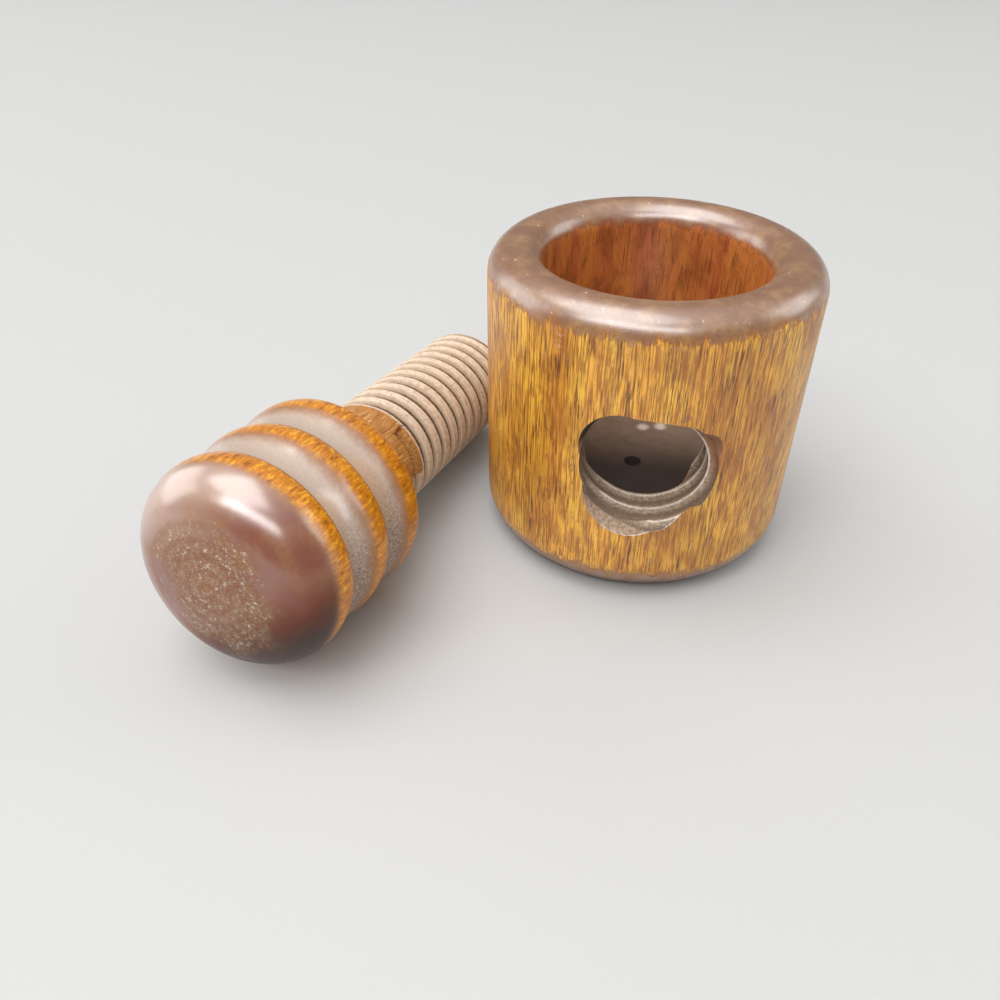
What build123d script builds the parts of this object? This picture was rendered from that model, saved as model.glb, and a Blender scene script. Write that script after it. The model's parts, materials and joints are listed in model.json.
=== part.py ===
from build123d import *
import math
import os

# A turned wooden screw nutcracker: a thick cup with a threaded hole through its front wall, and
# a wooden screw with a turned knob, taken out of the hole and laid beside the cup.
# Millimetres, +Z up.  The origin is the middle of the cup's base, and the hole faces -Y.

# ---- the barrel: a cup turned from one billet ----
barrel_radius = 33.0
barrel_height = 63.0
wall_thickness = 11.0
floor_thickness = 12.0
rim_outer_share = 0.51
rim_inner_share = 0.42
base_edge_round = 8.5
cavity_corner_round = 6.0
centre_mark_radius = 1.9
centre_mark_depth = 2.4

# ---- the thread that the screw and the barrel share ----
thread_radius = 12.7
thread_pitch = 4.233
groove_depth = 1.7
groove_width = 2.3
groove_root_flat = 0.7

# ---- the threaded hole, which is a little larger than the screw all over ----
hole_height = 31.2
thread_clearance = 0.35
flank_clearance = 0.15
first_ridge_depth = 1.55

# ---- one side of the hole has lost its ridges: a plain bore, moved over, cuts them away ----
worn_side_angle = 120.0
worn_side_shift = 2.0
worn_side_radius = 11.2

# ---- three chips off the hole's mouth, each with a slope like a countersink's: how far round
# ---- clockwise from straight down, how far its middle is moved that way, its radius and depth ----
deep_chip_angle = 126.0
deep_chip_shift = 8.2
deep_chip_radius = 6.9
deep_chip_depth = 3.4
wide_chip_angle = 42.0
wide_chip_shift = 5.6
wide_chip_radius = 9.0
wide_chip_depth = 1.8
small_chip_angle = -117.0
small_chip_shift = 11.4
small_chip_radius = 3.1
small_chip_depth = 1.6

# ---- the screw, measured along its axis from the end of the knob ----
neck_length = 12.65
thread_length = 52.4
tip_chamfer = 1.5
tenon_radius = 9.0
tenon_length = 24.0
glue_gap = 0.1
groove_start_angle = 130.0

# ---- the split where the thread cutter stopped, at the start of the groove ----
split_position = 52.2
split_half_length = 1.5
split_half_width = 0.5
split_depth = 1.1

# ---- the knob: a low dome, then beads with coves between them ----
knob_radius = 20.5
crown_round = 60.0
shoulder_round = 9.4
bead_width = 6.1
bead_rise = 0.55
cove_width = 6.0
cove_depth = 0.4
quirk_step = 0.55
cove_count = 2
back_edge_round = 0.5

# ---- how the screw lies on the table beside the barrel ----
lying_x = -74.1
lying_y = -63.4
lying_heading = 72.0

# ---- how many turns of a groove run on outside its piece ----
turns_outside = 3

# ---- sizes that follow from those above ----
cavity_radius = barrel_radius - wall_thickness
rim_outer_round = wall_thickness * rim_outer_share
rim_inner_round = wall_thickness * rim_inner_share
run_out = turns_outside * thread_pitch
tap_radius = thread_radius + thread_clearance
tap_end = barrel_radius - math.sqrt(cavity_radius**2 - tap_radius**2) + run_out
bead_edge_radius = knob_radius - bead_rise
bead_round = ((bead_width / 2) ** 2 + bead_rise**2) / (2 * bead_rise)
shoulder_inset = knob_radius - shoulder_round
dome_height = crown_round - math.sqrt((crown_round - shoulder_round) ** 2 - shoulder_inset**2)
beads_start = dome_height + bead_width / 2
knob_length = beads_start + cove_count * (cove_width + bead_width)
tenon_start = knob_length - tenon_length
thread_start = knob_length + neck_length
screw_length = thread_start + thread_length

# ---- how far a cutting shape runs past the surface that it cuts ----
overrun = 1.0


def rod(radius, bottom, top):
    """A plain cylinder on the Z axis between two heights."""
    align = (Align.CENTER, Align.CENTER, Align.MIN)
    return Pos(0, 0, bottom) * Cylinder(radius, top - bottom, align=align)


def corner(face, x, y):
    """The corner of a flat face that lies nearest to a point."""
    return face.vertices().sort_by_distance(Vector(x, y))[0]


def grooved_rod(radius, narrowing, bottom, groove_start, top, angle):
    """A rod along +Z with one V groove that climbs round it, from a height and an angle."""
    groove_end = top - thread_pitch
    helix = Helix(pitch=thread_pitch, height=groove_end - groove_start, radius=radius)
    flank_slope = (groove_width - groove_root_flat) / 2 / groove_depth
    half_root = groove_root_flat / 2 - narrowing
    half_mouth = groove_width / 2 - narrowing + flank_slope * overrun
    section = make_face(
        Polyline(
            (-groove_depth, -half_root),
            (overrun, -half_mouth),
            (overrun, half_mouth),
            (-groove_depth, half_root),
            close=True,
        )
    )
    section_plane = Plane(origin=helix @ 0, x_dir=(1, 0, 0), z_dir=helix % 0)
    groove = sweep(section_plane * section, path=helix, is_frenet=True)
    return rod(radius, bottom, top) - Pos(0, 0, groove_start) * Rot(0, 0, angle) * groove


def barrel_blank():
    """The cup: round rim, flat base with a round edge, bored cavity and the bit's centre mark."""
    section = make_face(
        Polyline(
            (0, 0),
            (barrel_radius, 0),
            (barrel_radius, barrel_height),
            (cavity_radius, barrel_height),
            (cavity_radius, floor_thickness),
            (0, floor_thickness),
            close=True,
        )
    )
    section = fillet(corner(section, barrel_radius, 0), base_edge_round)
    section = fillet(corner(section, barrel_radius, barrel_height), rim_outer_round)
    section = fillet(corner(section, cavity_radius, barrel_height), rim_inner_round)
    section = fillet(corner(section, cavity_radius, floor_thickness), cavity_corner_round)
    cup = revolve(Plane.XZ * section, Axis.Z)
    mark = Pos(0, 0, floor_thickness - centre_mark_depth / 2) * Cone(
        bottom_radius=0, top_radius=centre_mark_radius, height=centre_mark_depth
    )
    return cup - mark


def tap():
    """The threaded shape cut through the wall: the screw's own, grown by the clearances."""
    groove_start = first_ridge_depth - run_out
    bottom = groove_start - thread_pitch
    return grooved_rod(tap_radius, flank_clearance, bottom, groove_start, tap_end, 0)


def worn_side():
    """The plain bore that has taken the ridges off one side of the threaded hole."""
    bore = rod(worn_side_radius, -run_out, tap_end - overrun)
    return Rot(0, 0, worn_side_angle) * Pos(worn_side_shift, 0, 0) * bore


def mouth_chip(angle, shift, radius, depth):
    """A chip off the mouth of the hole: it narrows inwards until it meets the thread's bore."""
    across = (shift + radius) * math.sin(math.radians(angle))
    face_depth = barrel_radius - math.sqrt(barrel_radius**2 - across**2)
    slope = (shift + radius - tap_radius) / depth
    outside = Pos(shift, 0, (face_depth + depth - overrun) / 2)
    cone = Cone(
        bottom_radius=radius + slope * (face_depth + overrun),
        top_radius=radius - slope * depth,
        height=face_depth + depth + overrun,
    )
    return Rot(0, 0, angle) * outside * cone


def barrel():
    """The cup with the threaded hole through its front wall."""
    hole_plane = Plane(origin=(0, -barrel_radius, hole_height), x_dir=(0, 0, -1), z_dir=(0, 1, 0))
    cup = barrel_blank() - hole_plane * tap() - hole_plane * worn_side()
    for chip in (
        mouth_chip(deep_chip_angle, deep_chip_shift, deep_chip_radius, deep_chip_depth),
        mouth_chip(wide_chip_angle, wide_chip_shift, wide_chip_radius, wide_chip_depth),
        mouth_chip(small_chip_angle, small_chip_shift, small_chip_radius, small_chip_depth),
    ):
        cup -= hole_plane * chip
    return cup


def knob_form():
    """The turned knob before it is bored: crowned end at the origin, flat back facing +Z."""
    crown_angle = math.degrees(math.asin(shoulder_inset / (crown_round - shoulder_round)))
    shoulder_centre = (shoulder_inset, dome_height)
    first_bead_centre = (knob_radius - bead_round, dome_height)
    half_bead_angle = math.degrees(math.asin(bead_width / 2 / bead_round))
    quirk_radius = bead_edge_radius - quirk_step
    cove_radius = (bead_edge_radius + quirk_radius) / 2 - cove_depth
    height = beads_start
    with BuildSketch() as section:
        with BuildLine():
            CenterArc((0, crown_round), crown_round, -90, crown_angle)
            CenterArc(shoulder_centre, shoulder_round, crown_angle - 90, 90 - crown_angle)
            CenterArc(first_bead_centre, bead_round, 0, half_bead_angle)
            for _ in range(cove_count):
                cove_end = height + cove_width
                bead_end = cove_end + bead_width
                Line((bead_edge_radius, height), (quirk_radius, height))
                ThreePointArc(
                    (quirk_radius, height),
                    (cove_radius, height + cove_width / 2),
                    (bead_edge_radius, cove_end),
                )
                ThreePointArc(
                    (bead_edge_radius, cove_end),
                    (knob_radius, cove_end + bead_width / 2),
                    (bead_edge_radius, bead_end),
                )
                height = bead_end
            Polyline((bead_edge_radius, height), (0, height), (0, 0))
        make_face()
    back_corner = corner(section.sketch, bead_edge_radius, knob_length)
    outline = fillet(back_corner, back_edge_round)
    return revolve(Plane.XZ * outline, Axis.Z)


def knob():
    """The turned knob, bored from the back for the screw's tenon."""
    return knob_form() - rod(tenon_radius, tenon_start - glue_gap, knob_length + overrun)


def screw_shaft():
    """Tenon, neck and threaded length of the screw, in one piece of wood."""
    tenon = rod(tenon_radius - glue_gap, tenon_start, knob_length)
    long_end = screw_length + run_out
    long_stem = grooved_rod(
        thread_radius, 0, knob_length, thread_start, long_end, groove_start_angle
    )
    envelope = rod(thread_radius + overrun, knob_length, screw_length)
    tip_edge = envelope.edges().filter_by(GeomType.CIRCLE).sort_by(Axis.Z)[-1]
    stem = long_stem & chamfer(tip_edge, tip_chamfer + overrun)
    split = scale(Sphere(1), by=(split_depth, split_half_width, split_half_length))
    place = Rot(0, 0, groove_start_angle) * Pos(thread_radius, 0, split_position)
    return tenon + (stem - place * split)


def lying_plane():
    """Where the screw lies: the floor touches the round of its last bead and its tip's edge."""
    bead_centre = knob_length - bead_width / 2
    tip_edge = screw_length - tip_chamfer
    length = tip_edge - bead_centre
    rise = thread_radius - (knob_radius - bead_round)
    tilt = math.asin(bead_round / math.hypot(length, rise)) - math.atan2(rise, length)
    heading = math.radians(lying_heading)
    across = Vector(-math.sin(heading), math.cos(heading), 0)
    forward = Vector(math.cos(heading), math.sin(heading), 0)
    along = forward * math.cos(tilt) - Vector(0, 0, math.sin(tilt))
    end_height = thread_radius * math.cos(tilt) + tip_edge * math.sin(tilt)
    return Plane(origin=(lying_x, lying_y, end_height), x_dir=across, z_dir=along)


os.makedirs("parts", exist_ok=True)
resting_place = lying_plane()
export_step(barrel(), "parts/barrel.step")
export_step(resting_place * screw_shaft(), "parts/screw_shaft.step")
export_step(resting_place * knob(), "parts/knob.step")
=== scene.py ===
"""Looks of the turned wooden screw nutcracker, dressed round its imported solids.

The cup (barrel) stands upright; the screw with its knob lies beside it.  Everything is in metres
in the frame of the solids: +Z up, origin in the middle of the cup's base, the hole facing -Y.
"""

import json
import logging
import math
from dataclasses import dataclass, field
from enum import Enum

import bmesh
import bpy
from mathutils import Euler, Matrix, Vector

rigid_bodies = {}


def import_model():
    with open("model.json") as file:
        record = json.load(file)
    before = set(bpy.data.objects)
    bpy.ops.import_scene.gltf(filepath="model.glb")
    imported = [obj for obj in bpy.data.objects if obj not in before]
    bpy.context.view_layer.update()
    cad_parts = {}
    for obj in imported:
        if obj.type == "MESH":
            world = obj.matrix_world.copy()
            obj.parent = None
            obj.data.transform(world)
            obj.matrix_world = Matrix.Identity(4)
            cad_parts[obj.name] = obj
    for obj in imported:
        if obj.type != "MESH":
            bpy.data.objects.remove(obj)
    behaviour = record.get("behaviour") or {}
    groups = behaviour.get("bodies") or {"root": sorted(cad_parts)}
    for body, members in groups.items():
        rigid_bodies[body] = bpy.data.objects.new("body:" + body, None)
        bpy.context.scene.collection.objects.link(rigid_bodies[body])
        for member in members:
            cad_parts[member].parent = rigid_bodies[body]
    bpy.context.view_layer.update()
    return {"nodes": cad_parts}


log = logging.getLogger("nutcracker")

Socket = bpy.types.NodeSocket
Value = float | Socket
Colour = tuple[float, float, float, float]
Layer = tuple[Value, float, Socket | Colour]

MM = 0.001


def empty_the_scene() -> None:
    """Removes whatever a new Blender file starts with."""
    for leftover in list(bpy.data.objects):
        bpy.data.objects.remove(leftover)


empty_the_scene()
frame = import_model()


def paint(red: int, green: int, blue: int) -> Colour:
    """A colour as it looks on screen, turned into the linear values that shaders take.

    Args:
        red, green, blue: screen values from 0 to 255.

    Returns:
        The linear colour with full alpha.
    """

    def linear(value: int) -> float:
        """One screen value as a linear one."""
        share = value / 255
        return share / 12.92 if share <= 0.04045 else ((share + 0.055) / 1.055) ** 2.4

    return (linear(red), linear(green), linear(blue), 1.0)


# --------------------------------------------------------------------------- shader tools


class Sum(Enum):
    """The sums that a Math node is asked for here."""

    ADD = "ADD"
    SUBTRACT = "SUBTRACT"
    MULTIPLY = "MULTIPLY"
    MAXIMUM = "MAXIMUM"
    ABSOLUTE = "ABSOLUTE"
    ARCTAN2 = "ARCTAN2"


class Reading(Enum):
    """What a Mapping node takes a vector for."""

    PLACE = "POINT"
    DIRECTION = "VECTOR"


class Bench:
    """A node tree with short methods that add nodes and join them up."""

    def __init__(self, tree: bpy.types.NodeTree) -> None:
        """Keeps the tree that is worked on."""
        self.tree = tree

    def add(self, kind: str) -> bpy.types.Node:
        """A new node of the given kind."""
        return self.tree.nodes.new(kind)

    def feed(self, socket: Socket, value: Value | Colour | Vector) -> None:
        """Joins a socket to another one, or sets its own value.

        Args:
            socket: the input to fill.
            value: an output socket, a number, a colour or a vector.
        """
        if isinstance(value, bpy.types.NodeSocket):
            self.tree.links.new(value, socket)
        else:
            socket.default_value = value

    def sum(self, kind: Sum, first: Value, second: Value = 0.0, clamp: bool = False) -> Socket:
        """One Math node.

        Args:
            kind: the sum.
            first, second: its two values; a sum of one value ignores the second.
            clamp: keeps the result between 0 and 1.

        Returns:
            The result.
        """
        node = self.add("ShaderNodeMath")
        node.operation = kind.value
        node.use_clamp = clamp
        self.feed(node.inputs[0], first)
        self.feed(node.inputs[1], second)
        return node.outputs[0]

    def plus(self, first: Value, second: Value) -> Socket:
        """The two values added."""
        return self.sum(Sum.ADD, first, second)

    def minus(self, first: Value, second: Value) -> Socket:
        """The first value less the second."""
        return self.sum(Sum.SUBTRACT, first, second)

    def times(self, first: Value, second: Value) -> Socket:
        """The two values multiplied."""
        return self.sum(Sum.MULTIPLY, first, second)

    def rise(self, value: Value, start: float, end: float) -> Socket:
        """A smooth step: 0 at start and 1 at end, which may be the lower of the two.

        Args:
            value: the value that is read.
            start: where the step begins.
            end: where it is complete.

        Returns:
            A mask from 0 to 1.
        """
        node = self.add("ShaderNodeMapRange")
        node.interpolation_type = "SMOOTHSTEP"
        self.feed(node.inputs["Value"], value)
        if start < end:
            node.inputs["From Min"].default_value = start
            node.inputs["From Max"].default_value = end
            return node.outputs["Result"]
        node.inputs["From Min"].default_value = end
        node.inputs["From Max"].default_value = start
        node.inputs["To Min"].default_value = 1.0
        node.inputs["To Max"].default_value = 0.0
        return node.outputs["Result"]

    def between(self, value: Value, low: float, high: float, soft: float) -> Socket:
        """A mask that is 1 between two values and fades outside them.

        Args:
            value: the value that is read.
            low, high: the two edges, each at half strength.
            soft: the width of each fade.

        Returns:
            A mask from 0 to 1.
        """
        half = soft / 2
        return self.times(
            self.rise(value, low - half, low + half), self.rise(value, high + half, high - half)
        )

    def swing(self, value: Value, size: float) -> Socket:
        """A noise as a shift to both sides of 0.

        Args:
            value: the noise, around 0.5.
            size: the shift that a difference of 1 makes.

        Returns:
            The shift.
        """
        return self.times(self.minus(value, 0.5), size)

    def both(self, first: Value, second: Value) -> Socket:
        """Where both masks hold."""
        return self.times(first, second)

    def either(self, first: Value, second: Value) -> Socket:
        """Where at least one mask holds."""
        return self.sum(Sum.MAXIMUM, first, second)

    def without(self, mask: Value) -> Socket:
        """Where a mask doesn't hold."""
        return self.sum(Sum.SUBTRACT, 1.0, mask, clamp=True)

    def mix(self, share: Value, first: Socket | Colour, second: Socket | Colour) -> Socket:
        """Two colours put together.

        Args:
            share: how much of the second one is used.
            first, second: the colours.

        Returns:
            The colour.
        """
        node = self.add("ShaderNodeMix")
        node.data_type = "RGBA"
        self.feed(node.inputs[0], share)
        self.feed(node.inputs[6], first)
        self.feed(node.inputs[7], second)
        return node.outputs[2]

    def layers(self, first: Socket | Colour, steps: list[Layer]) -> Socket:
        """Colours laid over one another.

        Args:
            first: the lowest colour.
            steps: for each further colour its mask, how strongly it shows there and itself.

        Returns:
            The top of the layers.
        """
        result = first
        for mask, share, colour in steps:
            result = self.mix(self.times(mask, share), result, colour)
        return result

    def noise(
        self,
        where: Socket,
        scale: float,
        detail: float = 3.0,
        roughness: float = 0.55,
        distortion: float = 0.0,
    ) -> Socket:
        """Cloudy noise.

        Args:
            where: the coordinates it follows.
            scale: how many clouds to one unit of them.
            detail: how many finer layers it has.
            roughness: how strong the finer layers are.
            distortion: how far the clouds are pulled about.

        Returns:
            The noise, mostly between 0.3 and 0.7.
        """
        node = self.add("ShaderNodeTexNoise")
        self.feed(node.inputs["Vector"], where)
        node.inputs["Scale"].default_value = scale
        node.inputs["Detail"].default_value = detail
        node.inputs["Roughness"].default_value = roughness
        node.inputs["Distortion"].default_value = distortion
        return node.outputs["Fac"]

    def cells(self, where: Socket, scale: float) -> Socket:
        """The distance to the nearest of many scattered points, for pores, specks and pits.

        Args:
            where: the coordinates they are scattered in.
            scale: how many to one unit of them.

        Returns:
            The distance, in cells.
        """
        node = self.add("ShaderNodeTexVoronoi")
        self.feed(node.inputs["Vector"], where)
        node.inputs["Scale"].default_value = scale
        return node.outputs["Distance"]

    def stretch(self, where: Socket, sizes: tuple[float, float, float]) -> Socket:
        """Coordinates multiplied by one number along each axis.

        Args:
            where: the coordinates.
            sizes: the three numbers.

        Returns:
            The new coordinates.
        """
        node = self.add("ShaderNodeVectorMath")
        node.operation = "MULTIPLY"
        self.feed(node.inputs[0], where)
        node.inputs[1].default_value = sizes
        return node.outputs[0]

    def split(self, where: Socket) -> tuple[Socket, Socket, Socket]:
        """The three parts of a vector."""
        node = self.add("ShaderNodeSeparateXYZ")
        self.feed(node.inputs[0], where)
        return node.outputs[0], node.outputs[1], node.outputs[2]

    def join(self, x: Value, y: Value, z: Value) -> Socket:
        """A vector from its three parts."""
        node = self.add("ShaderNodeCombineXYZ")
        for socket, value in zip(node.inputs, (x, y, z)):
            self.feed(socket, value)
        return node.outputs[0]

    def length(self, x: Value, y: Value, z: Value = 0.0) -> Socket:
        """The length of a vector given by its parts."""
        node = self.add("ShaderNodeVectorMath")
        node.operation = "LENGTH"
        self.feed(node.inputs[0], self.join(x, y, z))
        return node.outputs["Value"]

    def bump(self, height: Socket, strength: float, distance: float) -> Socket:
        """A Bump node.

        Args:
            height: the height, from 0 to 1.
            strength: how much of it shows.
            distance: what a height of 1 stands for, in metres.

        Returns:
            The bumped normal.
        """
        node = self.add("ShaderNodeBump")
        node.inputs["Strength"].default_value = strength
        node.inputs["Distance"].default_value = distance
        self.feed(node.inputs["Height"], height)
        return node.outputs["Normal"]

    def use(self, group: bpy.types.NodeTree, **values: Value | Colour | Vector) -> bpy.types.Node:
        """Places a node group.

        Args:
            group: the group.
            values: its inputs by name, with _ for a space.

        Returns:
            The group's node.
        """
        node = self.add("ShaderNodeGroup")
        node.node_tree = group
        for name, value in values.items():
            self.feed(node.inputs[name.replace("_", " ")], value)
        return node


class EffectGroup(Bench):
    """A shader node group with named inputs and outputs."""

    def __init__(self, name: str, inputs: dict[str, float | None], outputs: list[str]) -> None:
        """Makes the group and its sockets.

        Args:
            name: the group's name.
            inputs: the name of each input with its usual value, or None for a vector.
            outputs: the names of its outputs, all of them numbers.
        """
        super().__init__(bpy.data.node_groups.new(name, "ShaderNodeTree"))
        for label, usual in inputs.items():
            kind = "NodeSocketVector" if usual is None else "NodeSocketFloat"
            socket = self.tree.interface.new_socket(label, in_out="INPUT", socket_type=kind)
            if usual is not None:
                socket.default_value = usual
        for label in outputs:
            self.tree.interface.new_socket(label, in_out="OUTPUT", socket_type="NodeSocketFloat")
        self.given = self.add("NodeGroupInput").outputs
        self.result = self.add("NodeGroupOutput").inputs


def wood_fibre_group() -> bpy.types.NodeTree:
    """Wood fibres that run along Z: thin dark streaks, broad bands, mottling and their height.

    Returns:
        The group; it reads coordinates in millimetres.
    """
    group = EffectGroup(
        "wood fibres",
        {"Vector": None},
        ["Streaks", "Fine Streaks", "Bands", "Mottle", "Height"],
    )
    where = group.given["Vector"]
    coarse = group.noise(group.stretch(where, (1.0, 1.0, 0.06)), 2.5, 3.0, 0.66)
    fine = group.noise(group.stretch(where, (1.0, 1.0, 0.045)), 3.5, 2.0, 0.55)
    bands = group.noise(group.stretch(where, (1.0, 1.0, 0.045)), 0.34, 3.0, 0.5)
    mottle = group.noise(group.stretch(where, (1.0, 1.0, 0.5)), 0.22, 4.0, 0.62, 0.6)
    streaks = group.rise(coarse, 0.54, 0.66)
    fine_streaks = group.rise(fine, 0.44, 0.58)
    group.feed(group.result["Streaks"], streaks)
    group.feed(group.result["Fine Streaks"], fine_streaks)
    group.feed(group.result["Bands"], group.rise(bands, 0.36, 0.64))
    group.feed(group.result["Mottle"], group.rise(mottle, 0.42, 0.66))
    depth = group.plus(group.times(streaks, 0.6), group.times(fine_streaks, 0.4))
    group.feed(group.result["Height"], group.without(depth))
    return group.tree


def speck_group() -> bpy.types.NodeTree:
    """Loose specks and smears of dust that gather where Amount is high.

    Returns:
        The group; it reads coordinates in millimetres.
    """
    group = EffectGroup("dust specks", {"Vector": None, "Amount": 0.5}, ["Specks", "Film"])
    where = group.given["Vector"]
    clouds = group.noise(where, 0.3, 4.0, 0.6)
    crumbs = group.noise(where, 1.2, 4.0, 0.8)
    grit = group.noise(where, 3.0, 2.0, 0.6)
    patchy = group.rise(group.plus(clouds, group.times(group.given["Amount"], 0.2)), 0.58, 0.78)
    specks = group.both(group.rise(crumbs, 0.57, 0.63), patchy)
    fine_specks = group.times(group.both(group.rise(grit, 0.6, 0.7), patchy), 0.6)
    group.feed(group.result["Specks"], group.either(specks, fine_specks))
    powder = group.plus(group.times(grit, 0.35), group.times(crumbs, 0.65))
    film = group.both(group.rise(powder, 0.36, 0.6), group.given["Amount"])
    group.feed(group.result["Film"], film)
    return group.tree


@dataclass(frozen=True)
class ScrewPlace:
    """Where the screw lies.  Distances are in metres and angles in degrees."""

    end: tuple[float, float, float] = (-74.1 * MM, -63.4 * MM, 24.50 * MM)
    heading: float = 72.0
    tilt: float = 6.731

    def matrix(self) -> Matrix:
        """The screw's own axes and origin: +Z runs from the knob's end to the threaded tip."""
        heading = math.radians(self.heading)
        tilt = math.radians(self.tilt)
        across = Vector((-math.sin(heading), math.cos(heading), 0))
        forward = Vector((math.cos(heading), math.sin(heading), 0))
        along = forward * math.cos(tilt) - Vector((0, 0, math.sin(tilt)))
        third = along.cross(across)
        turned = Matrix((across, third, along)).transposed()
        return Matrix.Translation(self.end) @ turned.to_4x4()


class Coordinates:
    """Coordinates in millimetres for a material, in the cup's frame or the screw's own."""

    def __init__(self, bench: Bench, place: ScrewPlace | None = None) -> None:
        """Adds the nodes.

        Args:
            bench: the material's node tree.
            place: where the screw lies, for a piece that belongs to it.
        """
        source = bench.add("ShaderNodeTexCoord")
        vector = source.outputs["Object"]
        normal = source.outputs["Normal"]
        if place is not None:
            back = place.matrix().inverted()
            vector = self.mapped(bench, vector, back, Reading.PLACE)
            normal = self.mapped(bench, normal, back, Reading.DIRECTION)
        self.where = bench.stretch(vector, (1 / MM, 1 / MM, 1 / MM))
        self.x, self.y, self.z = bench.split(self.where)
        self.radius = bench.length(self.x, self.y)
        _, self.facing_y, self.facing_z = bench.split(normal)

    @staticmethod
    def mapped(bench: Bench, vector: Socket, change: Matrix, reading: Reading) -> Socket:
        """A vector taken into another frame.

        Args:
            bench: the node tree.
            vector: what is read.
            change: the matrix that takes it there.
            reading: whether it is a place or a direction.

        Returns:
            The vector in the new frame.
        """
        node = bench.add("ShaderNodeMapping")
        node.vector_type = reading.value
        bench.feed(node.inputs["Vector"], vector)
        if reading is Reading.PLACE:
            node.inputs["Location"].default_value = change.to_translation()
        node.inputs["Rotation"].default_value = change.to_euler()
        return node.outputs["Vector"]


# --------------------------------------------------------------------------- finishes


@dataclass(frozen=True)
class Gloss:
    """How a finish shines.  These numbers are the same all over a surface."""

    coat_roughness: float
    coat_index: float = 1.5
    specular: float = 0.5


@dataclass(frozen=True)
class CupWood:
    """Varnished side grain, dark end grain on the rim, and bare cut wood in the hole."""

    gold: Colour = paint(255, 202, 68)
    amber: Colour = paint(255, 184, 62)
    brown: Colour = paint(158, 86, 26)
    streak: Colour = paint(92, 46, 14)
    rim: Colour = paint(130, 80, 38)
    rim_light: Colour = paint(156, 110, 60)
    wall: Colour = paint(196, 110, 58)
    wall_dark: Colour = paint(112, 52, 24)
    floor: Colour = paint(166, 146, 124)
    floor_dark: Colour = paint(122, 104, 88)
    cut: Colour = paint(196, 174, 150)
    cut_dark: Colour = paint(112, 90, 72)
    # pale wear and dust, also used for the painted light spots on the cavity's floor
    pale_wear_and_light: Colour = paint(246, 234, 220)
    torn: Colour = paint(148, 92, 52)
    # painted shade: near-black used where shade falls in the cavity and the hole
    painted_shade: Colour = paint(26, 20, 16)
    gloss: Gloss = Gloss(coat_roughness=0.29, coat_index=2.35)


@dataclass(frozen=True)
class KnobWood:
    """Dark polished wood: amber side grain on the beads, and in the coves a pale bloom that is
    partly dust and partly painted sheen.
    """

    dome: Colour = paint(140, 84, 44)
    dome_dark: Colour = paint(126, 56, 24)
    dome_shade: Colour = paint(44, 20, 10)
    dome_dust: Colour = paint(152, 128, 96)
    # painted sheen: a pale haze standing in for a reflection on the dome
    painted_sheen: Colour = paint(206, 180, 160)
    dust: Colour = paint(226, 210, 190)
    bead: Colour = paint(208, 128, 18)
    bead_light: Colour = paint(240, 172, 40)
    bead_dark: Colour = paint(146, 78, 16)
    # pale bloom: partly dust, partly painted sheen
    cove: Colour = paint(192, 168, 150)
    cove_grey_and_shade: Colour = paint(116, 90, 74)
    slope: Colour = paint(160, 108, 66)
    arris_shade: Colour = paint(104, 58, 22)
    pore: Colour = paint(30, 20, 14)
    gloss: Gloss = Gloss(coat_roughness=0.24, coat_index=2.3, specular=0.3)


@dataclass(frozen=True)
class ScrewWood:
    """Bare pale thread, darker in its groove, and a torn brown neck."""

    crest: Colour = paint(228, 208, 186)
    crest_dark: Colour = paint(194, 166, 140)
    flank: Colour = paint(190, 162, 132)
    root: Colour = paint(88, 62, 30)
    root_dark: Colour = paint(60, 38, 20)
    neck: Colour = paint(186, 130, 68)
    neck_dark: Colour = paint(140, 88, 40)
    fibre: Colour = paint(236, 200, 146)
    gloss: Gloss = Gloss(coat_roughness=0.3, specular=0.3)


class Finish(Bench):
    """A material for one node or piece."""

    def __init__(self, name: str, gloss: Gloss) -> None:
        """Makes the material with its shader.

        Args:
            name: the material's name.
            gloss: how it shines.
        """
        self.material = bpy.data.materials.new(name)
        self.material.use_nodes = True
        super().__init__(self.material.node_tree)
        self.shader = self.tree.nodes["Principled BSDF"]
        self.shader.inputs["Coat Roughness"].default_value = gloss.coat_roughness
        self.shader.inputs["Coat IOR"].default_value = gloss.coat_index
        self.shader.inputs["Specular IOR Level"].default_value = gloss.specular

    def show(self, colour: Socket, roughness: Value, coat: Value, normal: Socket) -> None:
        """Joins the finished looks to the shader.

        Args:
            colour: the base colour.
            roughness: the roughness of the wood under the coat.
            coat: how much varnish or wax lies on it.
            normal: the bumped normal.
        """
        self.feed(self.shader.inputs["Base Color"], colour)
        self.feed(self.shader.inputs["Roughness"], roughness)
        self.feed(self.shader.inputs["Coat Weight"], coat)
        self.feed(self.shader.inputs["Normal"], normal)

    def put_on(self, piece: bpy.types.Object) -> None:
        """Gives the material to every slot of an object."""
        if not piece.material_slots:
            piece.data.materials.append(self.material)
        for slot in piece.material_slots:
            slot.material = self.material


@dataclass
class Effects:
    """The node groups that several finishes use."""

    fibres: bpy.types.NodeTree = field(default_factory=wood_fibre_group)
    specks: bpy.types.NodeTree = field(default_factory=speck_group)


# --------------------------------------------------------------------------- the cup


@dataclass(frozen=True)
class CupZones:
    """Where the zones of the cup are, as masks, and two distances in millimetres."""

    from_hole: Socket
    depth: Socket
    cut: Socket
    inside: Socket
    wall: Socket
    floor: Socket
    shade_towards_hole: Socket
    light_spots: Socket
    mark: Socket
    end_grain: Socket
    stain: Socket
    low: Socket


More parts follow.
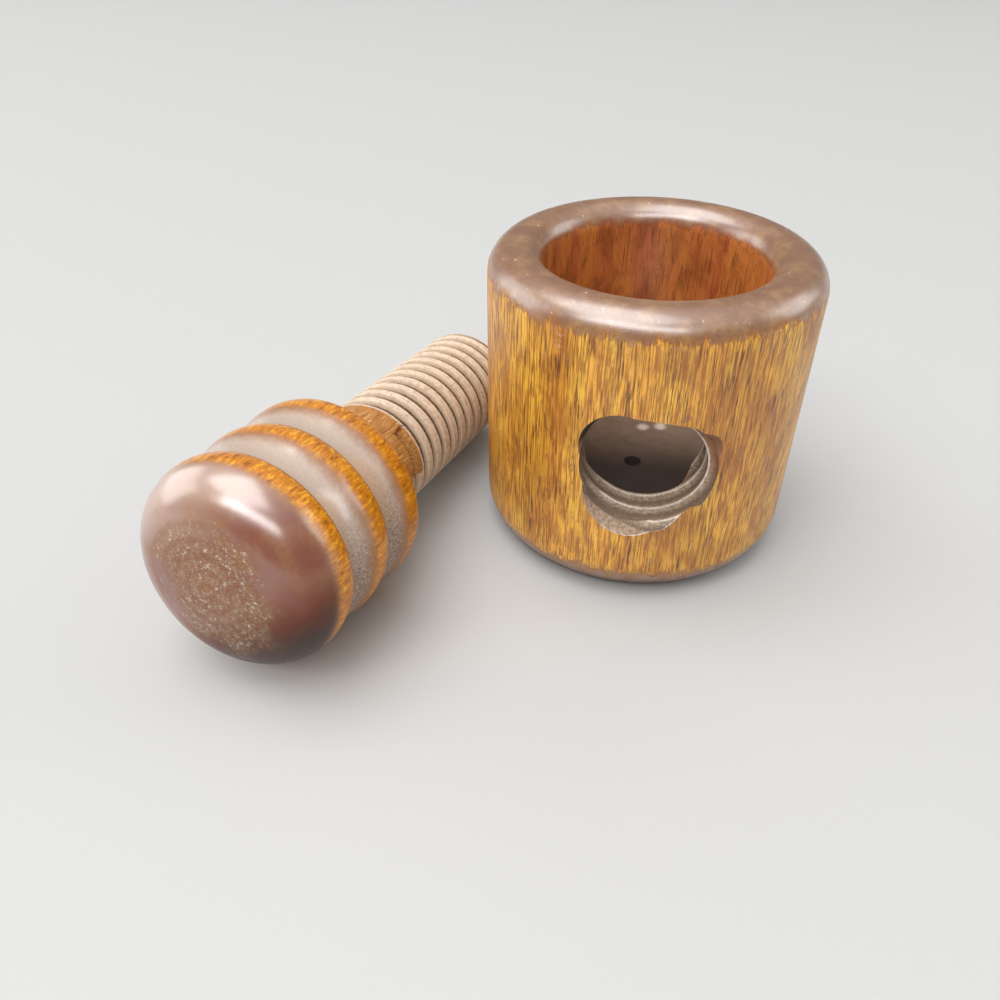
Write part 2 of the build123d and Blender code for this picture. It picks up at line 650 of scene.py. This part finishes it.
@dataclass
class Barrel:
    """The cup with its threaded hole.  Sizes in millimetres, as the solids have them."""

    effects: Effects
    wood: CupWood = field(default_factory=CupWood)
    outer_radius: float = 33.0
    cavity_radius: float = 22.0
    floor_height: float = 12.0
    mark_radius: float = 1.9
    hole_height: float = 31.2
    hole_radius: float = 13.05
    ridge_radius: float = 11.35
    chips_reach: float = 17.0
    light_spot_radius: float = 2.0
    # painted light: two pale spots of light on the cavity's floor
    floor_light_spots: tuple[tuple[float, float], ...] = ((3.0, 14.7), (7.2, 15.2))
    rim_dust: float = 0.2
    bump_height: float = 0.12 * MM

    def dress(self) -> None:
        """Gives the cup's node its wood."""
        self.finish().put_on(frame["nodes"]["barrel"])
        log.info("barrel: varnished wood")

    def finish(self) -> Finish:
        """The cup's material.

        Returns:
            The finish, with each zone of the cup in its own colours.
        """
        wood = self.wood
        bench = Finish("varnished cup wood", wood.gloss)
        at = Coordinates(bench)
        grain = bench.use(self.effects.fibres, Vector=at.where).outputs
        dust = bench.use(self.effects.specks, Vector=at.where, Amount=self.rim_dust).outputs
        zones = self.zones(bench, at, grain)
        dust_outside = bench.both(dust["Specks"], bench.without(zones.inside))
        shown = bench.layers(
            self.side_wood(bench, at, grain),
            [
                (zones.wall, 1.0, self.wall_wood(bench, grain)),
                (zones.stain, 0.5, wood.wall_dark),
                (zones.end_grain, 1.0, self.rim_wood(bench, at)),
                # painted shade: the lowest few millimetres of the cup are darkened
                (zones.low, 0.6, wood.streak),
                (zones.floor, 1.0, self.floor_wood(bench, at)),
                # painted shade: the cavity's floor darkens towards the hole
                (zones.shade_towards_hole, 0.92, wood.painted_shade),
                # painted light: two pale spots on the cavity's floor
                (zones.light_spots, 0.8, wood.pale_wear_and_light),
                # painted shade: a dark dot on the drill's centre mark
                (zones.mark, 1.0, wood.painted_shade),
                (zones.cut, 1.0, self.cut_wood(bench, at, grain, zones)),
                (dust_outside, 0.25, wood.pale_wear_and_light),
            ],
        )

        bare = bench.either(zones.cut, zones.floor)
        satin = bench.plus(0.34, bench.times(grain["Fine Streaks"], 0.12))
        roughness = bench.plus(satin, bench.times(bare, 0.42))
        torn = bench.noise(at.where, 2.6, 4.0, 0.7)
        height = bench.plus(
            bench.times(grain["Height"], 0.5), bench.times(bench.both(torn, bare), 1.2)
        )
        polish = bench.plus(0.14, bench.times(zones.end_grain, 0.86))
        unpolished = bench.either(bare, bench.times(zones.low, 0.75))
        varnish = bench.both(polish, bench.without(unpolished))
        bench.show(shown, roughness, varnish, bench.bump(height, 0.55, self.bump_height))
        return bench

    def zones(
        self, bench: Bench, at: Coordinates, grain: bpy.types.bpy_prop_collection
    ) -> CupZones:
        """Finds the zones of the cup.

        Args:
            bench: the material's node tree.
            at: its coordinates.
            grain: the outputs of the wood fibre group.

        Returns:
            The masks.
        """
        from_hole = bench.length(at.x, bench.minus(at.z, self.hole_height))
        depth = bench.minus(self.outer_radius, at.radius)
        near_hole = bench.both(
            bench.rise(at.y, 0.0, -2.0),
            bench.rise(from_hole, self.chips_reach + 0.5, self.chips_reach - 0.5),
        )
        in_wall = bench.both(
            bench.rise(depth, 0.03, 0.09),
            bench.rise(at.radius, self.cavity_radius - 0.2, self.cavity_radius + 0.3),
        )
        inside = bench.rise(at.radius, self.cavity_radius + 2.5, self.cavity_radius + 1.5)
        in_cavity = bench.rise(at.radius, self.cavity_radius + 0.25, self.cavity_radius + 0.05)
        floor = bench.both(
            in_cavity, bench.rise(at.z, self.floor_height + 6.5, self.floor_height + 3.0)
        )
        light_spots: Value = 0.0
        for x, y in self.floor_light_spots:
            away = bench.length(bench.minus(at.x, x), bench.minus(at.y, y))
            light_spots = bench.either(light_spots, bench.rise(away, self.light_spot_radius, 0.5))
        edge_cloud = bench.noise(bench.stretch(at.where, (1.0, 1.0, 0.6)), 0.35, 4.0, 0.7)
        ragged = bench.plus(bench.swing(grain["Streaks"], 0.08), bench.swing(edge_cloud, 1.1))
        steepness = bench.plus(bench.sum(Sum.ABSOLUTE, at.facing_z), ragged)
        end_grain = bench.rise(steepness, 0.05, 0.5)
        mark = bench.rise(at.radius, self.mark_radius + 0.2, self.mark_radius - 0.1)
        return CupZones(
            from_hole=from_hole,
            depth=depth,
            cut=bench.both(near_hole, in_wall),
            inside=inside,
            wall=bench.both(inside, bench.without(near_hole)),
            floor=floor,
            shade_towards_hole=bench.both(floor, bench.rise(at.y, 19.0, -4.0)),
            light_spots=bench.both(floor, light_spots),
            mark=bench.both(floor, mark),
            end_grain=end_grain,
            stain=bench.between(end_grain, 0.1, 0.8, 0.3),
            low=bench.rise(at.z, 7.0, 2.0),
        )

    def side_wood(
        self, bench: Bench, at: Coordinates, grain: bpy.types.bpy_prop_collection
    ) -> Socket:
        """The golden side grain.

        Args:
            bench: the material's node tree.
            at: its coordinates.
            grain: the outputs of the wood fibre group.

        Returns:
            The colour.
        """
        wood = self.wood
        patches = bench.noise(bench.stretch(at.where, (1.0, 1.0, 0.7)), 0.075, 3.0, 0.55)
        return bench.layers(
            wood.amber,
            [
                (grain["Bands"], 0.75, wood.gold),
                (bench.rise(patches, 0.45, 0.65), 0.45, wood.brown),
                (grain["Mottle"], 0.55, wood.brown),
                (grain["Fine Streaks"], 0.72, wood.brown),
                (grain["Streaks"], 0.9, wood.streak),
            ],
        )

    def rim_wood(self, bench: Bench, at: Coordinates) -> Socket:
        """The dark end grain of the rim, clouded and a little nicked.

        Args:
            bench: the material's node tree.
            at: its coordinates.

        Returns:
            The colour.
        """
        wood = self.wood
        cloud = bench.noise(at.where, 0.28, 4.0, 0.6)
        flecks = bench.noise(at.where, 1.6, 4.0, 0.7)
        nicks = bench.rise(bench.cells(at.where, 0.4), 0.12, 0.06)
        return bench.layers(
            wood.rim,
            [
                (bench.rise(cloud, 0.4, 0.7), 1.0, wood.rim_light),
                (bench.rise(flecks, 0.5, 0.66), 0.3, wood.streak),
                (bench.both(nicks, bench.rise(cloud, 0.5, 0.6)), 0.7, wood.pale_wear_and_light),
            ],
        )

    def wall_wood(self, bench: Bench, grain: bpy.types.bpy_prop_collection) -> Socket:
        """The red-brown wall of the cavity.

        Args:
            bench: the material's node tree.
            grain: the outputs of the wood fibre group.

        Returns:
            The colour.
        """
        wood = self.wood
        return bench.layers(
            wood.wall,
            [
                (grain["Bands"], 0.2, wood.amber),
                (grain["Mottle"], 0.5, wood.wall_dark),
                (grain["Streaks"], 0.7, wood.wall_dark),
            ],
        )

    def floor_wood(self, bench: Bench, at: Coordinates) -> Socket:
        """The cavity's grey floor.

        Args:
            bench: the material's node tree.
            at: its coordinates.

        Returns:
            The colour.
        """
        return bench.mix(bench.noise(at.where, 0.35, 4.0), self.wood.floor_dark, self.wood.floor)

    def cut_wood(
        self,
        bench: Bench,
        at: Coordinates,
        grain: bpy.types.bpy_prop_collection,
        zones: CupZones,
    ) -> Socket:
        """The bare wood of the threaded hole: grey in the grooves and pale where rubbed, with
        painted shade in the deep chip at its upper left.

        Args:
            bench: the material's node tree.
            at: its coordinates.
            grain: the outputs of the wood fibre group.
            zones: where the zones of the cup are.

        Returns:
            The colour.
        """
        wood = self.wood
        cloud = bench.noise(at.where, 1.5, 6.0, 0.72)
        rough = bench.swing(cloud, 1.4)
        scratches = bench.noise(bench.stretch(at.where, (0.4, 1.0, 2.2)), 1.6, 4.0, 0.7)
        worn_reach = bench.plus(zones.from_hole, bench.times(rough, 0.25))
        ridge_edge = bench.both(
            bench.rise(worn_reach, self.ridge_radius + 0.45, self.ridge_radius + 0.15),
            bench.rise(bench.sum(Sum.ABSOLUTE, at.facing_y), 0.3, 0.6),
        )
        groove = bench.rise(worn_reach, self.ridge_radius + 0.65, self.hole_radius - 0.25)
        lower = bench.rise(at.z, 36.0, 26.0)
        upper_left = bench.both(bench.rise(at.z, 35.0, 37.5), bench.rise(at.x, 4.0, -2.0))
        lip_depth = bench.plus(zones.depth, bench.times(rough, 0.4))
        lip = bench.both(bench.rise(lip_depth, 0.2, 0.08), lower)
        chips = bench.rise(zones.from_hole, self.hole_radius - 0.05, self.hole_radius + 0.25)
        return bench.layers(
            wood.cut,
            [
                (bench.rise(cloud, 0.45, 0.6), 0.5, wood.cut_dark),
                (bench.rise(scratches, 0.48, 0.62), 0.5, wood.cut_dark),
                (bench.both(groove, bench.without(chips)), 0.75, wood.cut_dark),
                (bench.without(lower), 0.75, wood.torn),
                (bench.both(chips, lower), 0.18, wood.torn),
                (ridge_edge, 0.8, wood.pale_wear_and_light),
                (lip, 0.6, wood.pale_wear_and_light),
                # painted shade: the deep chip at the hole's upper left is near-black
                (bench.both(chips, upper_left), 1.0, wood.painted_shade),
                (grain["Fine Streaks"], 0.25, wood.cut_dark),
            ],
        )


# --------------------------------------------------------------------------- the screw


@dataclass(frozen=True)
class KnobZones:
    """Where the zones of the knob are, as masks, with the broad noise that clouds them.

    Sideways is the distance towards the upper left of the photograph, in millimetres, and
    clouded is the same distance made uneven by the noise.
    """

    beads: Socket
    coves: Socket
    edges: Socket
    dome: Socket
    back: Socket
    pole: Socket
    cloud: Socket
    sideways: Socket
    clouded: Socket


@dataclass
class Screw:
    """The screw and its knob.  Sizes in millimetres, as the solids have them."""

    effects: Effects
    place: ScrewPlace = field(default_factory=ScrewPlace)
    knob_wood: KnobWood = field(default_factory=KnobWood)
    thread_wood: ScrewWood = field(default_factory=ScrewWood)
    knob_length: float = 37.88
    first_bead: float = 10.63
    bead_count: int = 3
    bead_width: float = 6.1
    cove_width: float = 6.0
    thread_radius: float = 12.7
    root_radius: float = 11.0
    thread_pitch: float = 4.233
    thread_start: float = 50.53
    groove_start_angle: float = 130.0
    tip: float = 102.93
    pores_inside: float = 6.6
    pores_outside: float = 9.4
    knob_bump: float = 0.08 * MM
    shaft_bump: float = 0.14 * MM

    def dress(self) -> None:
        """Gives the two nodes of the screw their woods."""
        self.knob_finish().put_on(frame["nodes"]["knob"])
        log.info("knob: polished wood")
        self.shaft_finish().put_on(frame["nodes"]["screw_shaft"])
        log.info("screw_shaft: bare wood")

    def knob_finish(self) -> Finish:
        """The knob's material.

        Returns:
            The finish.
        """
        wood = self.knob_wood
        bench = Finish("polished knob wood", wood.gloss)
        at = Coordinates(bench, self.place)
        grain = bench.use(self.effects.fibres, Vector=at.where).outputs
        zones = self.knob_zones(bench, at)
        bloom = bench.noise(at.where, 2.2, 5.0, 0.7)
        pores = bench.both(
            bench.rise(bench.cells(at.where, 1.15), 0.2, 0.1),
            bench.both(
                bench.between(at.radius, self.pores_inside, self.pores_outside, 1.6),
                bench.rise(at.z, 2.4, 1.4),
            ),
        )
        shown = bench.layers(
            wood.slope,
            [
                (zones.coves, 1.0, self.cove_wood(bench, zones, bloom)),
                (zones.dome, 1.0, self.dome_wood(bench, at, zones, pores)),
                (zones.beads, 1.0, self.bead_wood(bench, at, grain)),
                (zones.back, 0.7, wood.slope),
                # painted shade: a dark line along each bead's sharp edge
                (zones.edges, 0.8, wood.arris_shade),
            ],
        )
        roughness = bench.plus(0.3, bench.times(zones.coves, 0.15))
        height = bench.plus(
            bench.times(grain["Height"], 0.35),
            bench.plus(bench.times(bloom, 0.3), bench.times(pores, -1.0)),
        )
        dull_side = bench.rise(zones.clouded, 6.0, -6.0)
        dull = bench.either(bench.times(zones.beads, 0.6), bench.times(dull_side, 0.95))
        polish = bench.minus(1.0, bench.either(dull, bench.times(zones.pole, 0.75)))
        bench.show(shown, roughness, polish, bench.bump(height, 0.3, self.knob_bump))
        return bench

    def knob_zones(self, bench: Bench, at: Coordinates) -> KnobZones:
        """Finds the beads, the coves between them, the dome and the back.

        Args:
            bench: the material's node tree.
            at: its coordinates, in the screw's own axes.

        Returns:
            The masks.
        """
        along = bench.plus(at.z, bench.swing(bench.noise(at.where, 0.8, 4.0, 0.65), 2.2))
        beads: Value = 0.0
        coves: Value = 0.0
        edges: Value = 0.0
        for index in range(self.bead_count):
            middle = self.first_bead + index * (self.bead_width + self.cove_width)
            edge = middle + self.bead_width / 2
            bead = bench.both(
                bench.rise(along, middle - 2.6, middle - 0.5),
                bench.rise(at.z, edge + 0.15, edge - 0.1),
            )
            beads = bench.either(beads, bead)
            edges = bench.either(edges, bench.between(at.z, edge - 0.2, edge + 0.35, 0.3))
            if index < self.bead_count - 1:
                cove = bench.both(
                    bench.rise(at.z, edge + 0.2, edge + 0.8),
                    bench.rise(along, edge + self.cove_width + 1.2, edge + 4.4),
                )
                coves = bench.either(coves, cove)
        cloud = bench.noise(at.where, 0.16, 4.0, 0.6)
        sideways = bench.plus(bench.times(at.y, 0.85), bench.times(at.x, 0.5))
        return KnobZones(
            beads=beads,
            coves=coves,
            edges=edges,
            dome=bench.rise(at.z, self.first_bead - 0.8, self.first_bead - 3.4),
            back=bench.rise(at.z, self.knob_length - 0.3, self.knob_length - 0.05),
            pole=bench.rise(bench.plus(at.radius, bench.swing(cloud, 22.0)), 17.0, 8.0),
            cloud=cloud,
            sideways=sideways,
            clouded=bench.plus(sideways, bench.times(cloud, 8.0)),
        )

    def dome_wood(
        self, bench: Bench, at: Coordinates, zones: KnobZones, pores: Socket
    ) -> Socket:
        """The dome: clouded brown with growth rings and dust near its middle, a painted sheen on
        its upper left side and painted shade on the other side.

        Args:
            bench: the material's node tree.
            at: its coordinates.
            zones: where the zones of the knob are.
            pores: the mask of its pores.

        Returns:
            The colour.
        """
        wood = self.knob_wood
        dust_amount = bench.both(zones.pole, bench.rise(at.z, 6.0, 1.0))
        dust = bench.use(self.effects.specks, Vector=at.where, Amount=dust_amount).outputs
        rings = bench.add("ShaderNodeTexWave")
        rings.wave_type = "RINGS"
        rings.rings_direction = "Z"
        bench.feed(rings.inputs["Vector"], at.where)
        rings.inputs["Scale"].default_value = 0.11
        rings.inputs["Distortion"].default_value = 2.2
        rings.inputs["Detail"].default_value = 3.0
        ring = bench.rise(rings.outputs["Fac"], 0.35, 0.9)
        end_grain = bench.noise(bench.stretch(at.where, (1.0, 1.0, 0.3)), 1.4, 5.0, 0.7)
        return bench.layers(
            wood.dome,
            [
                (bench.rise(zones.cloud, 0.4, 0.62), 1.0, wood.dome_dark),
                (ring, 0.35, wood.dome_dark),
                (bench.rise(end_grain, 0.45, 0.65), 0.3, wood.dome_dark),
                # painted sheen on the upper left side of the dome
                (bench.rise(zones.clouded, 10.0, 22.0), 0.5, wood.painted_sheen),
                # painted shade on the dome's other side
                (bench.rise(zones.clouded, 2.0, -13.0), 0.95, wood.dome_shade),
                (bench.both(dust["Film"], zones.pole), 0.7, wood.dome_dust),
                (bench.both(dust["Specks"], zones.pole), 0.75, wood.dust),
                (bench.both(ring, zones.pole), 0.3, wood.dome_dark),
                (pores, 1.0, wood.pore),
            ],
        )

    def bead_wood(
        self, bench: Bench, at: Coordinates, grain: bpy.types.bpy_prop_collection
    ) -> Socket:
        """The amber wood of the beads, in short scales along the grain.

        Args:
            bench: the material's node tree.
            at: its coordinates.
            grain: the outputs of the wood fibre group.

        Returns:
            The colour.
        """
        wood = self.knob_wood
        scales = bench.noise(bench.stretch(at.where, (1.0, 1.0, 0.3)), 1.5, 3.0, 0.65)
        return bench.layers(
            wood.bead,
            [
                (bench.rise(scales, 0.5, 0.64), 1.0, wood.bead_light),
                (bench.rise(scales, 0.46, 0.3), 1.0, wood.bead_dark),
                (grain["Fine Streaks"], 0.3, wood.bead_dark),
            ],
        )

    def cove_wood(self, bench: Bench, zones: KnobZones, bloom: Socket) -> Socket:
        """The coves: a pale bloom above that is partly dust and partly painted sheen, greyed by
        painted shade and speckled low down.

        Args:
            bench: the material's node tree.
            zones: where the zones of the knob are.
            bloom: fine noise.

        Returns:
            The colour.
        """
        wood = self.knob_wood
        shaded_low_side = bench.rise(zones.sideways, 4.0, -14.0)
        speckled = bench.plus(0.12, bench.times(shaded_low_side, 0.88))
        return bench.layers(
            wood.cove,
            [
                # painted shade on the low side of the coves
                (shaded_low_side, 0.6, wood.cove_grey_and_shade),
                (bench.both(bench.rise(bloom, 0.5, 0.38), speckled), 1.0, wood.cove_grey_and_shade),
                (bench.both(bench.rise(bloom, 0.54, 0.66), speckled), 1.0, wood.dust),
            ],
        )

    def shaft_finish(self) -> Finish:
        """The material of the neck and thread.

        Returns:
            The finish.
        """
        wood = self.thread_wood
        bench = Finish("bare screw wood", wood.gloss)
        at = Coordinates(bench, self.place)
        grain = bench.use(self.effects.fibres, Vector=at.where).outputs
        cloud = bench.noise(at.where, 0.8, 5.0, 0.65)
        rough = bench.swing(cloud, 0.7)

        angle = bench.sum(Sum.ARCTAN2, at.y, at.x)
        turned = bench.minus(angle, math.radians(self.groove_start_angle))
        unwound = bench.minus(at.z, bench.times(turned, self.thread_pitch / math.tau))
        neck_end = self.thread_start + 0.6 * self.thread_pitch
        on_neck = bench.rise(bench.plus(unwound, rough), neck_end + 0.3, neck_end - 0.3)

        radius = bench.plus(at.radius, bench.times(rough, 0.3))
        on_tip = bench.rise(at.z, self.tip - 0.5, self.tip - 0.1)
        in_root = bench.both(
            bench.rise(radius, self.root_radius + 1.15, self.root_radius + 0.6),
            bench.without(on_tip),
        )
        on_flank = bench.rise(radius, self.thread_radius - 0.1, self.thread_radius - 0.4)
        thread = bench.layers(
            wood.crest,
            [
                (bench.rise(cloud, 0.45, 0.7), 1.0, wood.crest_dark),
                (on_flank, 0.7, wood.flank),
                (in_root, 1.0, wood.root),
                (bench.both(in_root, bench.rise(cloud, 0.48, 0.6)), 1.0, wood.root_dark),
                (grain["Fine Streaks"], 0.25, wood.crest_dark),
                (on_tip, 0.6, wood.neck),
            ],
        )
        tears = bench.noise(bench.stretch(at.where, (1.0, 1.0, 0.14)), 2.2, 4.0, 0.72, 0.4)
        neck = bench.layers(
            wood.neck,
            [
                (bench.rise(tears, 0.48, 0.62), 0.8, wood.neck_dark),
                (bench.rise(tears, 0.44, 0.34), 0.6, wood.fibre),
            ],
        )
        roughness = bench.minus(0.72, bench.times(on_neck, 0.2))
        height = bench.plus(
            bench.times(grain["Height"], 0.5),
            bench.plus(bench.times(cloud, 0.5), bench.times(bench.both(tears, on_neck), 1.5)),
        )
        wax = bench.times(on_neck, 0.15)
        shown = bench.mix(on_neck, thread, neck)
        bench.show(shown, roughness, wax, bench.bump(height, 0.6, self.shaft_bump))
        return bench


# --------------------------------------------------------------------------- studio


@dataclass(frozen=True)
class Softbox:
    """One flat soft lamp that faces the object, placed and sized by angles in degrees."""

    name: str
    compass: float
    elevation: float
    wide: float
    tall: float
    power: float


@dataclass
class Studio:
    """The floor, the lamps, the world and the camera.  Distances in metres."""

    floor_colour: Colour = paint(190, 190, 189)
    floor_size: float = 5.0
    floor_roughness: float = 0.6
    world_strength: float = 0.26
    ceiling_strength: float = 0.5
    backdrop: Colour = paint(214, 214, 213)
    lamp_distance: float = 3.0
    focus: tuple[float, float, float] = (-0.02, 0.0, 0.03)
    camera_at: tuple[float, float, float] = (-15.915 * MM, -162.18 * MM, 124.17 * MM)
    camera_down: float = 37.65
    camera_turn: float = 5.15
    lens: float = 30.6
    softboxes: tuple[Softbox, ...] = (
        Softbox("lamp_above", -110.0, 74.0, wide=50.0, tall=46.0, power=66.0),
        Softbox("lamp_front", 197.0, 48.0, wide=60.0, tall=14.0, power=40.0),
        Softbox("lamp_left", -75.0, 18.0, wide=44.0, tall=34.0, power=28.0),
        Softbox("lamp_right", 72.0, 24.0, wide=30.0, tall=30.0, power=16.0),
    )

    def set_up(self) -> None:
        """Builds the whole studio."""
        self.floor()
        self.world()
        for box in self.softboxes:
            self.lamp(box)
        self.camera()

    def floor(self) -> None:
        """A plain pale floor."""
        mesh = bpy.data.meshes.new("floor")
        shape = bmesh.new()
        bmesh.ops.create_grid(shape, x_segments=1, y_segments=1, size=self.floor_size / 2)
        shape.to_mesh(mesh)
        shape.free()
        floor = bpy.data.objects.new("floor", mesh)
        bpy.context.scene.collection.objects.link(floor)
        material = bpy.data.materials.new("floor")
        material.use_nodes = True
        shader = material.node_tree.nodes["Principled BSDF"]
        shader.inputs["Base Color"].default_value = self.floor_colour
        shader.inputs["Roughness"].default_value = self.floor_roughness
        mesh.materials.append(material)

    def world(self) -> None:
        """Even light from all round; the camera sees a plain pale backdrop instead."""
        world = bpy.data.worlds.new("studio")
        world.use_nodes = True
        bpy.context.scene.world = world
        bench = Bench(world.node_tree)
        light = world.node_tree.nodes["Background"]
        light.inputs["Color"].default_value = (1.0, 1.0, 1.0, 1.0)
        upward = bench.split(bench.add("ShaderNodeTexCoord").outputs["Generated"])[2]
        ceiling = bench.times(bench.rise(upward, 0.45, 0.9), self.ceiling_strength)
        bench.feed(light.inputs["Strength"], bench.plus(ceiling, self.world_strength))
        seen = bench.add("ShaderNodeBackground")
        seen.inputs["Color"].default_value = self.backdrop
        seen.inputs["Strength"].default_value = 1.0
        choice = bench.add("ShaderNodeMixShader")
        bench.feed(choice.inputs[0], bench.add("ShaderNodeLightPath").outputs["Is Camera Ray"])
        bench.feed(choice.inputs[1], light.outputs[0])
        bench.feed(choice.inputs[2], seen.outputs[0])
        bench.feed(world.node_tree.nodes["World Output"].inputs["Surface"], choice.outputs[0])

    def lamp(self, box: Softbox) -> None:
        """One soft lamp.

        Args:
            box: its place, size and power.
        """
        data = bpy.data.lights.new(box.name, "AREA")
        data.shape = "RECTANGLE"
        data.size = 2 * self.lamp_distance * math.tan(math.radians(box.wide / 2))
        data.size_y = 2 * self.lamp_distance * math.tan(math.radians(box.tall / 2))
        data.energy = box.power
        lamp = bpy.data.objects.new(box.name, data)
        compass = math.radians(box.compass)
        lift = math.radians(box.elevation)
        away = Vector(
            (
                math.sin(compass) * math.cos(lift),
                math.cos(compass) * math.cos(lift),
                math.sin(lift),
            )
        )
        lamp.location = Vector(self.focus) + away * self.lamp_distance
        lamp.rotation_euler = (-away).to_track_quat("-Z", "Y").to_euler()
        bpy.context.scene.collection.objects.link(lamp)

    def camera(self) -> None:
        """The camera at the photograph's angle."""
        data = bpy.data.cameras.new("camera")
        data.lens = self.lens
        data.sensor_width = 36.0
        data.sensor_fit = "HORIZONTAL"
        data.clip_start = 0.005
        camera = bpy.data.objects.new("camera", data)
        camera.location = self.camera_at
        camera.rotation_euler = Euler(
            (math.radians(90.0 - self.camera_down), 0.0, math.radians(self.camera_turn))
        )
        bpy.context.scene.collection.objects.link(camera)
        bpy.context.scene.camera = camera
        bpy.context.scene.view_settings.view_transform = "Standard"


def main() -> None:
    """Builds the studio and dresses each piece in order."""
    logging.basicConfig(level=logging.INFO, format="%(name)s: %(message)s")
    Studio().set_up()
    effects = Effects()
    Barrel(effects).dress()
    Screw(effects).dress()


if __name__ == "__main__":
    main()
